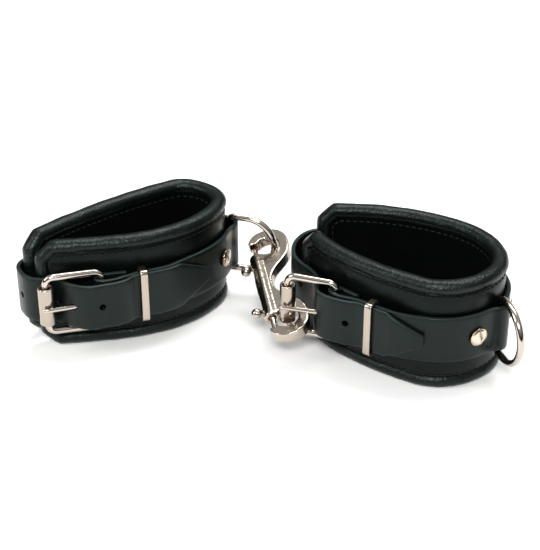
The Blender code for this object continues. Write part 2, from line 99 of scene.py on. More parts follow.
# %% Plans of the two cuffs
CUFFS = {
    "left": {
        "at": (-53.2, 21.8),
        "turn": 29.9,
        "round": 28.6,
        "near": {"wide": (-12.0, -22.6), "reach": (20.5, 28.0), "slope": -0.35, "end": (-75.0, -3.7)},
        "far": {"wide": (13.0, 20.6), "reach": (31.0, 32.0), "slope": 0.33, "end": (-77.0, 4.8)},
        "heel": (-48.1, -23.4),
        "roller": (-75.0, -15.6),
        "keeper": 51.2,
        "ring": 113.0,
        "ring_apex": (2.2, 27.8),
        "tail_end": 86.0,
        "lift": 0.0,
        "loop": [
            (-74.6, 12.3), (-78.0, 10.2), (-80.2, 6.4), (-80.7, 1.6), (-80.2, -3.2), (-77.9, -7.4),
            (-74.4, -9.8), (-70.6, -11.8), (-67.4, -15.4), (-64.8, -20.6), (-61.2, -25.8),
            (-56.1, -29.2), (-50.1, -30.5),
        ],
    },
    "right": {
        "at": (82.1, -23.8),
        "turn": -30.7,
        "round": 30.9,
        "near": {"wide": (4.0, -30.1), "reach": (33.0, 24.0), "slope": -0.62, "end": (-66.6, -12.0)},
        "far": {"wide": (-6.0, 29.8), "reach": (28.0, 24.0), "slope": 0.62, "end": (-72.4, 8.6)},
        "heel": (-37.4, -34.3),
        "roller": (-61.9, -39.4),
        "keeper": 55.0,
        "ring": 114.5,
        "ring_apex": (118.4, -67.6),
        "tail_end": 79.5,
        "lift": 0.9,
        "loop": [
            (-72.6, 15.2), (-76.2, 11.6), (-78.4, 6.4), (-78.6, 0.4), (-77.4, -5.8), (-74.6, -11.8),
            (-70.8, -16.6), (-65.4, -20.2), (-58.8, -23.0), (-52.4, -27.4), (-48.4, -34.8),
            (-44.4, -40.2), (-38.4, -41.9),
        ],
    },
}


def bezier(a, b, c, d, steps):
    out = []
    for k in range(steps + 1):
        t = k / steps
        r = 1 - t
        out.append(a * r**3 + b * 3 * r * r * t + c * 3 * r * t * t + d * t**3)
    return out


class Plan:
    """The middle line of a cuff's wall, seen from above."""

    def __init__(self, cuff, shift=Vector((0, 0, 0))):
        self.cuff = cuff
        turn = math.radians(cuff["turn"])
        self.place = Matrix.Translation(Vector((*cuff["at"], 0)) + shift) @ Matrix.Rotation(turn, 4, "Z")
        self.line = self.half(cuff["near"])[::-1] + self.half(cuff["far"])[1:]
        self.length = [0.0]
        for a, b in zip(self.line, self.line[1:]):
            self.length.append(self.length[-1] + (b - a).length)
        self.total = self.length[-1]

    def half(self, side):
        wide, end = Vector(side["wide"]), Vector(side["end"])
        top = Vector((self.cuff["round"], 0))
        pull = Vector((1, side["slope"])).normalized() * side["reach"][1]
        swell = Vector((0.5 * (top.x - wide.x), 0))
        first = bezier(top, top + Vector((0, 0.56 * wide.y)), wide + swell, wide, 40)
        second = bezier(wide, wide - Vector((side["reach"][0], 0)), end + pull, end, 40)
        return first + second[1:]

    def frame(self, s):
        """Point, direction and outward normal at s."""
        s = min(max(s, 0.0), self.total)
        i = 1
        while i < len(self.length) - 1 and self.length[i] < s:
            i += 1
        share = (s - self.length[i - 1]) / (self.length[i] - self.length[i - 1])
        point = self.line[i - 1].lerp(self.line[i], share)

        def way_at(j):
            return (self.line[min(j + 2, len(self.line) - 1)] - self.line[max(j - 3, 0)]).normalized()

        way = way_at(i).lerp(way_at(min(i + 1, len(self.line) - 1)), share).normalized()
        return point, way, Vector((way.y, -way.x))

    def on(self, s, n):
        point, _, out = self.frame(s)
        return point + out * n

    def nearest(self, p):
        best = min(range(len(self.line)), key=lambda i: (self.line[i] - p).length)
        return self.length[best]

    def world(self, p, z):
        return self.place @ Vector((p[0], p[1], z))

    def at(self, s, n, z):
        return self.world(self.on(s, n), z)

    def out(self, s):
        _, way, normal = self.frame(s)
        turn = self.place.to_3x3()
        return turn @ Vector((*way, 0)), turn @ Vector((*normal, 0))


# The frame says where the left roller stands, and that places both plans.
trial = Plan(CUFFS["left"])
SHIFT = box_middle("left_buckle_roller") - trial.world(CUFFS["left"]["roller"], STRAP_Z)
PLANS = {side: Plan(cuff, SHIFT) for side, cuff in CUFFS.items()}
for side, plan in PLANS.items():
    print(f"{side} band: {plan.total:.1f} mm along its middle line")

# %% [markdown]
# ## Finishes
# One function adds a shader node with its settings and links, and another turns a hex colour to the linear
# numbers that shaders use. A number that is the same all over a surface sits on the shader's own socket.

# %% Helpers for materials


def colour(code):
    """A hex colour as linear RGBA."""
    parts = [int(code[i : i + 2], 16) / 255 for i in (1, 3, 5)]
    linear = [c / 12.92 if c <= 0.04045 else ((c + 0.055) / 1.055) ** 2.4 for c in parts]
    return (*linear, 1.0)


def add(tree, kind, inputs=None, **settings):
    """A node with its settings, and inputs that are values or other nodes' sockets."""
    made = tree.nodes.new(kind)
    for name, value in settings.items():
        setattr(made, name, value)
    for name, value in (inputs or {}).items():
        if isinstance(value, bpy.types.NodeSocket):
            tree.links.new(value, made.inputs[name])
        else:
            made.inputs[name].default_value = value
    return made


def finish(name, base, roughness, metallic=0.0, **sockets):
    """A material with one Principled shader."""
    made = bpy.data.materials.new(name)
    made.use_nodes = True
    shader = made.node_tree.nodes["Principled BSDF"]
    shader.inputs["Base Color"].default_value = colour(base)
    shader.inputs["Roughness"].default_value = roughness
    shader.inputs["Metallic"].default_value = metallic
    for socket, value in sockets.items():
        shader.inputs[socket.replace("_", " ")].default_value = value
    return made, made.node_tree, shader


def per_mm(size):
    """The texture scale, in metres of Object coordinates, that makes a feature `size` mm across."""
    return 1000.0 / size


def ramp(tree, value, low, high, a, b):
    """a where value is below low, b where it is above high, as colours."""
    made = add(tree, "ShaderNodeValToRGB", {"Fac": value})
    points = made.color_ramp.elements
    points[0].position, points[1].position = low, high
    points[0].color, points[1].color = a, b
    return made.outputs["Color"]


# %% [markdown]
# ### Leather
# The strap is corrected-grain leather: split hide with a smooth black coat, so it has a soft, broad sheen and
# faint mottling. The rolls and the panel are softer and show a fine pebble. Cut edges are dyed, and a lighter
# colour on the strap's rounded edges is a painted highlight together with rubbed dye. Real grain is 0.3 to 0.5 mm,
# drawn here at about 1 mm so that it shows.

# %% Leather finishes


def leather(name, base, light, roughness, grain, depth, shine=0.3, edge=None):
    made, tree, shader = finish(name, base, roughness, Specular_IOR_Level=shine, Specular_Tint=colour("#def0eb"))
    place = add(tree, "ShaderNodeTexCoord").outputs["Object"]
    cloud = add(tree, "ShaderNodeTexNoise", {"Vector": place, "Scale": per_mm(14), "Detail": 4.0, "Roughness": 0.6})
    tone = ramp(tree, cloud.outputs["Fac"], 0.35, 0.7, colour(base), colour(light))
    if edge:
        # The edge colour is a painted highlight on the strap's rounded edges, mixed with the colour of rubbed dye.
        edge_highlight_wear = add(tree, "ShaderNodeAttribute", attribute_name="edge")
        # On a Mix node the colour sockets share their names with the plain ones, so they are set by place.
        tone = add(
            tree, "ShaderNodeMix", {0: edge_highlight_wear.outputs["Fac"], 6: tone, 7: colour(edge)}, data_type="RGBA"
        ).outputs[2]
    tree.links.new(tone, shader.inputs["Base Color"])
    pebble = add(tree, "ShaderNodeTexVoronoi", {"Vector": place, "Scale": per_mm(grain)}, feature="SMOOTH_F1")
    soft = add(tree, "ShaderNodeTexNoise", {"Vector": place, "Scale": per_mm(5), "Detail": 3.0})
    rise = add(tree, "ShaderNodeMath", {0: pebble.outputs["Distance"], 1: soft.outputs["Fac"]}, operation="ADD")
    bump = add(tree, "ShaderNodeBump", {"Height": rise.outputs[0], "Strength": depth, "Distance": 0.0003})
    tree.links.new(bump.outputs["Normal"], shader.inputs["Normal"])
    matt = add(
        tree,
        "ShaderNodeMapRange",
        {"Value": cloud.outputs["Fac"], "To Min": roughness - 0.06, "To Max": roughness + 0.1},
    )
    tree.links.new(matt.outputs["Result"], shader.inputs["Roughness"])
    return made


# The strap's lighter edge colour is a painted highlight along its rounded edges, with rubbed dye.
STRAP_LEATHER = leather("corrected_grain_black_leather", "#060a09", "#0b1110", 0.3, 1.0, 0.1, 0.24, edge="#1c2624")
PANEL_LEATHER = leather("smooth_black_side_leather", "#030504", "#060a09", 0.3, 1.1, 0.14, 0.17)
ROLL_LEATHER = leather("soft_black_nappa_leather", "#040807", "#0a100e", 0.34, 0.9, 0.7, 0.28)
LINING_LEATHER = leather("black_suede_lining", "#010201", "#030403", 0.85, 1.6, 0.5, 0.05)
print("leathers:", STRAP_LEATHER.name, PANEL_LEATHER.name, ROLL_LEATHER.name, LINING_LEATHER.name)

# %% [markdown]
# ### Nickel plate
# The wire hardware is steel wire, bent and plated with bright nickel, which is a slightly warm mirror. The
# snap is die-cast zinc under the same plate: its skin has gentle waves from the mould, so its reflections
# wobble. Handling leaves it a little cloudy, which a slow noise in the roughness gives.

# %% Metal finishes


def metal(name, base, roughness, wave, height, cloud=0.08):
    made, tree, shader = finish(name, base, roughness, 1.0)
    place = add(tree, "ShaderNodeTexCoord").outputs["Object"]
    dull = add(tree, "ShaderNodeTexNoise", {"Vector": place, "Scale": per_mm(9), "Detail": 5.0, "Roughness": 0.65})
    clouded = add(
        tree,
        "ShaderNodeMapRange",
        {"Value": dull.outputs["Fac"], "To Min": roughness - cloud / 2, "To Max": roughness + cloud},
    )
    tree.links.new(clouded.outputs["Result"], shader.inputs["Roughness"])
    ripple = add(tree, "ShaderNodeTexNoise", {"Vector": place, "Scale": per_mm(wave), "Detail": 2.0})
    bump = add(tree, "ShaderNodeBump", {"Height": ripple.outputs["Fac"], "Strength": 0.5, "Distance": height * MM})
    tree.links.new(bump.outputs["Normal"], shader.inputs["Normal"])
    return made


WIRE_NICKEL = metal("bright_nickel_plated_wire", "#bfb5ab", 0.1, 6.0, 0.12)
SATIN_NICKEL = metal("rolled_nickel_plated_strip", "#ab9f93", 0.2, 8.0, 0.1)
CAST_NICKEL = metal("nickel_plated_die_cast_zinc", "#b3a99d", 0.14, 4.0, 0.35, 0.12)
SPRING_STEEL = metal("drawn_spring_steel", "#8c8c8e", 0.3, 3.0, 0.05)
print("metals:", WIRE_NICKEL.name, SATIN_NICKEL.name, CAST_NICKEL.name, SPRING_STEEL.name)


# %% Thread
THREAD, tree, shader = finish("bonded_polyester_thread", "#0c100f", 0.5, Specular_IOR_Level=0.2)
twist = add(
    tree,
    "ShaderNodeTexWave",
    {"Vector": add(tree, "ShaderNodeTexCoord").outputs["Object"], "Scale": per_mm(2.4), "Distortion": 1.0},
)
strands = ramp(tree, twist.outputs["Fac"], 0.2, 0.9, colour("#070a09"), colour("#141a18"))
tree.links.new(strands, shader.inputs["Base Color"])

# %% [markdown]
# ## Making skins
# Almost every piece is a skin over a row of rings: a wire is round rings along a path, a strap is flat rings.
# `skin` joins the rings, turns all faces outward and puts the place in the mesh, with the object at the
# origin. It can carry one number per point, which a material reads, such as where an edge gets its painted highlight
# and rubbed dye.

# %% Skins, wires and turned shapes


def skin(name, rings, material, closed=False, edge=None):
    count = len(rings[0])
    points = [p * MM for ring in rings for p in ring]
    faces = []
    for i in range(len(rings) - (not closed)):
        a, b = i * count, (i + 1) % len(rings) * count
        faces += [(a + j, a + (j + 1) % count, b + (j + 1) % count, b + j) for j in range(count)]
    if not closed:
        faces += [tuple(range(count))[::-1], tuple(range(len(points) - count, len(points)))]
    data = bpy.data.meshes.new(name)
    data.from_pydata(points, [], faces)
    outward(data)
    data.polygons.foreach_set("use_smooth", [True] * len(data.polygons))
    data.materials.append(material)
    if edge:
        data.attributes.new("edge", "FLOAT", "POINT").data.foreach_set("value", edge)
    made = bpy.data.objects.new(name, data)
    bpy.context.scene.collection.objects.link(made)
    return made


def outward(data):
    shape = bmesh.new()
    shape.from_mesh(data)
    bmesh.ops.recalc_face_normals(shape, faces=shape.faces)
    shape.to_mesh(data)
    shape.free()


def circle(middle, across, up, radius, sides):
    turns = [2 * math.pi * (k + 0.5) / sides for k in range(sides)]
    return [middle + across * radius * math.cos(t) + up * radius * math.sin(t) for t in turns]


def arc(middle, first, second, start, end, steps):
    turns = [math.radians(start + (end - start) * k / steps) for k in range(steps + 1)]
    return [middle + first * math.cos(t) + second * math.sin(t) for t in turns]


def wire(name, path, radius, material, sides=20, closed=False, hint=UP, flat=None):
    """A round wire along a path. radius is a number or one for each point; flat squeezes it across hint."""
    rings, up, count = [], hint, len(path)
    for i, p in enumerate(path):
        after = path[(i + 1) % count] if closed or i < count - 1 else p
        before = path[i - 1] if closed or i > 0 else p
        way = (after - before).normalized()
        up = (up - way * up.dot(way)).normalized()
        r = radius[i] if isinstance(radius, list) else radius
        squeeze = flat[i] if flat else 1.0
        rings.append(
            [p + (q - p) - up * (q - p).dot(up) * (1 - squeeze) for q in circle(p, up, way.cross(up), r, sides)]
        )
    return skin(name, rings, material, closed)


def turned(name, base, axis, profile, material, sides=32, closed=False):
    """A body of revolution: profile is (distance along the axis, radius)."""
    axis = axis.normalized()
    across = axis.orthogonal().normalized()
    rings = [circle(base + axis * d, across, axis.cross(across), r, sides) for d, r in profile]
    return skin(name, rings, material, closed)


def baked(obj):
    """The object with its modifiers made part of a plain mesh."""
    graph = bpy.context.evaluated_depsgraph_get()
    data = bpy.data.meshes.new_from_object(obj.evaluated_get(graph))
    obj.modifiers.clear()
    obj.data = data
    data.name = obj.name
    return obj


def rounded(obj, width, segments=3, angle=35):
    """Bevelled edges, as tumbling and polishing leave them."""
    step = obj.modifiers.new("rounded", "BEVEL")
    step.width, step.segments, step.limit_method = width * MM, segments, "ANGLE"
    step.angle_limit = math.radians(angle)
    step.harden_normals = False
    return baked(obj)


def crisp(obj, angle=40):
    """Smooth shading that breaks at sharp corners."""
    data = obj.data
    shape = bmesh.new()
    shape.from_mesh(data)
    limit = math.radians(angle)
    for edge in shape.edges:
        edge.smooth = len(edge.link_faces) == 2 and edge.calc_face_angle(0.0) < limit
    shape.to_mesh(data)
    shape.free()
    return obj


def flowing(points, step):
    """A smooth line through all the points, with a station about every `step` mm."""
    ends = [points[0] * 2 - points[1]] + points + [points[-1] * 2 - points[-2]]
    out = []
    for p0, p1, p2, p3 in zip(ends, ends[1:], ends[2:], ends[3:]):
        span = (p2 - p1).length
        before, after = max((p1 - p0).length, 1e-6), max((p3 - p2).length, 1e-6)
        m1 = ((p1 - p0) / before + (p2 - p1) / span) * span / 2
        m2 = ((p2 - p1) / span + (p3 - p2) / after) * span / 2
        pieces = max(1, round(span / step))
        for k in range(pieces):
            t = k / pieces
            out.append(
                p1 * (2 * t**3 - 3 * t * t + 1)
                + m1 * (t**3 - 2 * t * t + t)
                + p2 * (3 * t * t - 2 * t**3)
                + m2 * (t**3 - t * t)
            )
    return out + [points[-1]]


def stations(start, end, step):
    count = max(1, round((end - start) / step))
    return [start + (end - start) * k / count for k in range(count + 1)]


def done(piece, body, *nodes, slot=None):
    """Rides the piece on its body, and hides the CAD nodes that it stands for."""
    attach(piece, body)
    if nodes:
        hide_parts(*nodes)
    return piece


# %% [markdown]
# ## The padded wall
# The band is a sandwich: side leather outside, foam, and a suede lining inside, sewn together at the edges.
# Each face swells between its seams, and stays flat under the strap. A cloth simulation with pressure gives
# that swell: the face starts as a slim closed pillow, is remeshed evenly, held along its seams and blown up.
# Then each point is capped, so that the pillow stays inside the wall and clear of the strap and rings.

# %% Slim pillows for both faces of the wall
TUCK = 1.6  # how far a face runs in under the roll


def pillow(name, plan, inner, outer, material):
    """A closed slab between two depths of the wall, thinner at its edges."""
    inset = ROLL_H - TUCK
    bend = CORNER_R - ROLL_H / 2
    corner = [math.radians(a) for a in (0, 15, 30, 45, 60, 75)]
    start = [(inset + bend * (1 - math.cos(t)), bend * (1 - math.sin(t))) for t in corner]
    middle = [(s, 0.0) for s in stations(inset + bend, plan.total - inset - bend, 2.0)]
    end = [(plan.total - s, rise) for s, rise in start[::-1]]
    rings = []
    for s, rise in start + middle + end:
        low, high = inset + rise, BAND_H - inset - rise
        heights = [low + (high - low) * k / 12 for k in range(13)]
        ring = []
        for face, zs in ((outer, heights), (inner, heights[::-1])):
            for z in zs:
                close = min(1.0, (min(z - low, high - z) + 0.6) / 3.0)
                n = (inner + outer) / 2 + (face - (inner + outer) / 2) * math.sqrt(close)
                ring.append(plan.at(s, n, z))
        rings.append(ring)
    return skin(name, rings, material)


# %% Blow up a pillow
VOXEL = 1.5  # mm
PRESSURE, BLOW_FRAMES = 4.0, 20


def wall_place(plan, p):
    """(s, n, z) in mm of a point in metres."""
    q = plan.place.inverted() @ (p / MM)
    flat = Vector((q.x, q.y))
    s = plan.nearest(flat)
    point, way, out = plan.frame(s)
    s += (flat - point).dot(way)
    point, way, out = plan.frame(s)
    return s, (flat - point).dot(out), q.z


def blown_up(obj, plan, swell):
    """Remeshes the pillow, blows it up with its seams held, and caps each point by swell(s, n, z) in mm."""
    step = obj.modifiers.new("even", "REMESH")
    step.mode, step.voxel_size, step.use_smooth_shade = "VOXEL", VOXEL * MM, True
    material = obj.data.materials[0]
    baked(obj)
    rest = [v.co.copy() for v in obj.data.vertices]
    places = [wall_place(plan, p) for p in rest]
    held = obj.vertex_groups.new(name="seams")
    near_edge = ROLL_H + 0.6
    for i, (s, _, z) in enumerate(places):
        edge = min(z, BAND_H - z, s, plan.total - s)
        if edge < near_edge:
            held.add([i], 1.0, "REPLACE")
    moved = rest
    cloth = obj.modifiers.new("blow", "CLOTH")
    cloth.settings.use_pressure = True
    cloth.settings.uniform_pressure_force = PRESSURE
    cloth.settings.effector_weights.gravity = 0.0
    cloth.settings.vertex_group_mass = held.name
    scene = bpy.context.scene
    for number in range(1, BLOW_FRAMES + 1):
        scene.frame_set(number)
    graph = bpy.context.evaluated_depsgraph_get()
    moved = [v.co.copy() for v in obj.evaluated_get(graph).data.vertices]
    obj.modifiers.clear()
    scene.frame_set(1)
    for vertex, a, b, (s, n, z) in zip(obj.data.vertices, rest, moved, places):
        cap = swell(s, n, z) * MM
        push = b - a
        if push.length > cap:
            push = push.normalized() * cap
        vertex.co = a + push
    obj.vertex_groups.clear()
    smooth = obj.modifiers.new("smooth", "SMOOTH")
    smooth.iterations = 2
    finer = obj.modifiers.new("finer", "SUBSURF")
    finer.levels = finer.render_levels = 1
    baked(obj)
    if not obj.data.materials:
        obj.data.materials.append(material)
    obj.data.polygons.foreach_set("use_smooth", [True] * len(obj.data.polygons))
    return obj


def edge_swell(most, z, s, plan):
    """Swell that grows from nothing at the seams to `most` mm."""
    edge = min(z, BAND_H - z, s, plan.total - s) - ROLL_H
    return most * min(1.0, max(0.0, edge / 5.0)) ** 0.7


def make_wall(side, plan):
    body = f"{side}_cuff"
    face = pillow(f"{side}_leather_panel", plan, 0.2, OUTER - 0.35, PANEL_LEATHER)
    face["middle"] = 1.8
    strap_room = STRAP_W / 2 + 2.0

    def outside(s, n, z):
        under_strap = abs(z - STRAP_Z) < strap_room
        return edge_swell(0.35 if under_strap or n < 1.0 else 1.1, z, s, plan)

    blown_up(face, plan, outside)
    done(face, body, f"{side}_outer_panel", f"{side}_foam_pad", slot="firm_leather")
    lining = pillow(f"{side}_suede_lining", plan, 0.35 - OUTER, -0.2, LINING_LEATHER)
    lining["middle"] = -1.8
    blown_up(lining, plan, lambda s, n, z: edge_swell(1.5 if n < -1.0 else 0.3, z, s, plan))
    done(lining, body, f"{side}_lining", slot="lining_cloth")
    return face, lining


WALLS = {side: make_wall(side, plan) for side, plan in PLANS.items()}
for face, lining in WALLS.values():
    print(face.name, len(face.data.polygons), "faces;", lining.name, len(lining.data.polygons), "faces")

# %% [markdown]
# ## The rolled edge
# A strip of soft leather is sewn on face to face, and rolled over a soft core, round all four edges of the
# band. It is a fat tube that is pressed flat where the cuff stands on it, gathers into small folds in its
# tight corners, and dips a little at each stitch. A skin of rings along the edge's path carries all three.

# %% Rolls round both bands
ROLL_STEP = 1.3
ROLL_SIDES = 26
STITCH_PITCH = 3.4


def edge_path(plan, low, corner, step):
    """(s, z) points round the band's four edges, `low` mm in from them. Its corners are cut off straight, as
    the leather is before it is bound, and each point says whether it is on such a cut."""
    right, top = plan.total - low, BAND_H - low
    kinks = [
        (low + corner, low), (right - corner, low), (right, low + corner), (right, top - corner),
        (right - corner, top), (low + corner, top), (low, top - corner), (low, low + corner),
    ]
    path = []
    for i, (a, b) in enumerate(zip(kinks, kinks[1:] + kinks[:1])):
        a, b = Vector(a), Vector(b)
        count = max(1, round((b - a).length / step))
        path += [(a.lerp(b, k / count), float(i % 2)) for k in range(count)]
    return path


def make_roll(side, plan):
    path = edge_path(plan, ROLL_H / 2, CORNER_R, ROLL_STEP)
    rings = []
    run = 0.0
    for i, (p, tight) in enumerate(path):
        ahead, behind = path[(i + 1) % len(path)][0], path[i - 1][0]
        run += (p - behind).length
        way = (ahead - behind).normalized()
        across = Vector((-way.y, way.x))  # towards the middle of the band
        fold = 0.10 * math.sin(2 * math.pi * run / STITCH_PITCH) + 0.22 * tight * math.sin(2 * math.pi * run / 2.9)
        ring = []
        for k in range(ROLL_SIDES):
            t = 2 * math.pi * k / ROLL_SIDES
            inward = max(0.0, math.cos(t))
            spot = Vector((run / 9.0, math.cos(t) * 1.1 + (5 if side == "left" else 0), math.sin(t) * 1.1))
            soft = 0.22 * noise.noise(spot) + 0.07 * noise.noise(spot * 3.3)
            swell = 1.0 + (soft + fold * inward) / (ROLL_H / 2)
            q = p + across * math.cos(t) * ROLL_H / 2 * swell
            point = plan.at(q.x, math.sin(t) * ROLL_W / 2 * swell, q.y)
            point.z = min(max(point.z, 0.0), BAND_H)
            ring.append(point)
        rings.append(ring)
    roll = skin(f"{side}_rolled_edge", rings, ROLL_LEATHER, closed=True)
    done(roll, f"{side}_cuff", f"{side}_edge_binding", slot="soft_leather")
    return roll


ROLLS = {side: make_roll(side, plan) for side, plan in PLANS.items()}
print("rolls:", [len(roll.data.vertices) for roll in ROLLS.values()], "points")

# %% [markdown]
# ## Stitches
# The roll, the panel and the lining are held by lock stitches in heavy thread, one line outside and one
# inside. A stitch is the same small bead of thread again and again along a seam, which is what Geometry
# Nodes are for: the seam becomes a curve, is measured into equal steps, and a bead is set along each step.

# %% A tree that sews a seam
THREAD_R = 0.4
STITCH_L = 2.6
PANEL_SEAM, LINING_SEAM = ROLL_H + 0.7, ROLL_H + 1.0  # in from the band's edges


def sewing_tree():
    tree = bpy.data.node_groups.new("sewn_seam", "GeometryNodeTree")
    face = tree.interface
    face.new_socket("Geometry", in_out="INPUT", socket_type="NodeSocketGeometry")
    for name, value in (("Pitch", STITCH_PITCH), ("Length", STITCH_L), ("Thread", THREAD_R)):
        socket = face.new_socket(name, in_out="INPUT", socket_type="NodeSocketFloat")
        socket.default_value = value * MM
    socket = face.new_socket("Finish", in_out="INPUT", socket_type="NodeSocketMaterial")
    face.new_socket("Geometry", in_out="OUTPUT", socket_type="NodeSocketGeometry")
    given = add(tree, "NodeGroupInput").outputs
    seam = add(tree, "GeometryNodeMeshToCurve", {"Mesh": given["Geometry"]})
    steps = add(
        tree, "GeometryNodeResampleCurve", {"Curve": seam.outputs["Curve"], "Length": given["Pitch"]}, mode="LENGTH"
    )
    along = add(tree, "GeometryNodeInputTangent")
    turn = add(tree, "FunctionNodeAlignRotationToVector", {"Vector": along.outputs["Tangent"]}, axis="Z")
    bead = add(tree, "GeometryNodeMeshUVSphere", {"Segments": 8, "Rings": 6, "Radius": 1.0})
    half = add(tree, "ShaderNodeMath", {0: given["Length"], 1: 0.5}, operation="MULTIPLY")
    size = add(tree, "ShaderNodeCombineXYZ", {"X": given["Thread"], "Y": given["Thread"], "Z": half.outputs[0]})
    sewn = add(
        tree,
        "GeometryNodeInstanceOnPoints",
        {
            "Points": steps.outputs["Curve"],
            "Instance": bead.outputs["Mesh"],
            "Rotation": turn.outputs["Rotation"],
            "Scale": size.outputs["Vector"],
        },
    )
    real = add(tree, "GeometryNodeRealizeInstances", {"Geometry": sewn.outputs["Instances"]})
    smooth = add(tree, "GeometryNodeSetShadeSmooth", {"Geometry": real.outputs["Geometry"]})
    dyed = add(
        tree, "GeometryNodeSetMaterial", {"Geometry": smooth.outputs["Geometry"], "Material": given["Finish"]}
    )
    add(tree, "NodeGroupOutput", {"Geometry": dyed.outputs["Geometry"]})
    return tree


SEWING = sewing_tree()


def with_tree(obj, tree, **inputs):
    """Runs a tree on the object and keeps the result as a plain mesh."""
    step = obj.modifiers.new(tree.name, "NODES")
    step.node_group = tree
    names = {item.name: item.identifier for item in tree.interface.items_tree if item.in_out == "INPUT"}
    for name, value in inputs.items():
        step[names[name]] = value
    return baked(obj)


# %% Sew both lines of each cuff


def seam_line(plan, target, way, inset):
    """Points on a wall's face round the band, `inset` mm in from its edges."""
    tree = BVHTree.FromObject(target, bpy.context.evaluated_depsgraph_get())
    points = []
    for p, _ in edge_path(plan, inset, CORNER_R - 3.0, 2.0):
        _, out = plan.out(p.x)
        start = plan.at(p.x, way * 12.0, p.y) * MM
        hit, _, _, _ = tree.ray_cast(start, -out * way, 0.02)
        if hit:
            points.append(hit + out * way * THREAD_R * 0.35 * MM)
    return points


def sew(side, plan):
    face, lining = WALLS[side]
    made = []
    for name, target, way, inset in (("panel", face, 1, PANEL_SEAM), ("lining", lining, -1, LINING_SEAM)):
        points = seam_line(plan, target, way, inset)
        data = bpy.data.meshes.new(f"{side}_{name}_stitches")
        count = len(points)
        data.from_pydata(points, [(i, (i + 1) % count) for i in range(count)], [])
        seam = bpy.data.objects.new(data.name, data)
        bpy.context.scene.collection.objects.link(seam)
        with_tree(seam, SEWING, Finish=THREAD)
        done(seam, f"{side}_cuff")
        made.append(seam)
    return made


bpy.context.view_layer.update()
for side, plan in PLANS.items():
    for seam in sew(side, plan):
        print(seam.name, len(seam.data.vertices) // 42, "stitches")

# %% [markdown]
# ## The strap
# One strap of 25 mm leather is folded round the buckle's heel bar, runs round the band, turns back on itself
# at the band's ends and comes through the buckle as the tail. Its cut edges are rounded and dyed, with a lighter
# painted highlight along them. The fold and the tail lie on the strap below with a thin line of shade between, so the
# path is followed layer by layer.

# %% The strap's path


def strap_path(plan, step):
    cuff = plan.cuff
    heel = Vector(cuff["heel"])
    s_heel = plan.nearest(heel)
    _, way, out = plan.frame(s_heel)
    lay = LAY + cuff["lift"]
    ring, keeper, on = cuff["ring"], cuff["keeper"], plan.on
    fold = [on(s_heel + 11, RIDE), on(s_heel + 8, RIDE), on(s_heel + 4, RIDE + 0.1)]
    fold += arc(heel, -out * FOLD_R, -way * FOLD_R, 0, 180, 6)
    fold += [on(s_heel + 5, 11.4), on(s_heel + 9, 9.8), on(s_heel + 13, max(8.6, lay + 0.3))]
    main = [on(s, lay) for s in stations(s_heel + 17, keeper + 12, 4)]
    main += [on(s, RIDE) for s in stations(keeper + 24, ring - 8, 4)]
    main += [on(ring + d, n) for d, n in ((-5, 5.9), (-3.2, 7.5), (-1.6, 8.9), (0, 9.3))]
    main += [on(ring + d, n) for d, n in ((1.6, 8.9), (3.2, 7.5), (5, 5.9), (8, RIDE))]
    main += [on(s, RIDE) for s in stations(ring + 12, plan.total - 8, 4)]
    loop = [Vector(p) for p in cuff["loop"]]
    tail = [on(s_heel + d, n) for d, n in ((6, 15.0), (10, 13.4), (14, lay + STACK + 0.7))]
    tail += [on(s, lay + STACK) for s in stations(s_heel + 18, keeper + 12, 4)]
    tail += [on(s, RIDE + STACK + 0.1) for s in stations(keeper + 24, cuff["tail_end"], 4)]
    return flowing(fold + main + loop + tail, step)


# %% Strap leather with rounded edges
STRAP_STEP = 1.5
STRAP_EDGE = 0.55  # radius of the rounded edges


def strap_section():
    """(share of half width, offset across the width, offset through the thickness, how much painted highlight and
    rubbed dye).
    """
    half = STRAP_T / 2
    out = []
    flats = [k / 6 for k in range(-6, 7)]
    for face in (1, -1):
        out += [(face * f, 0.0, -face * half, 0.0) for f in flats]
        for a in (30, 60, 90, 120, 150):
            t = math.radians(a)
            rise = STRAP_EDGE * math.sin(t)
            out.append((face, face * rise, -face * half * math.cos(t), 1.0 if 25 < a < 155 else 0.0))
    return out


def cut_with(target, cutters):
    for cutter in cutters:
        step = target.modifiers.new("cut", "BOOLEAN")
        step.object, step.solver = cutter, "EXACT"
    baked(target)
    for cutter in cutters:
        bpy.data.objects.remove(cutter)
    return target


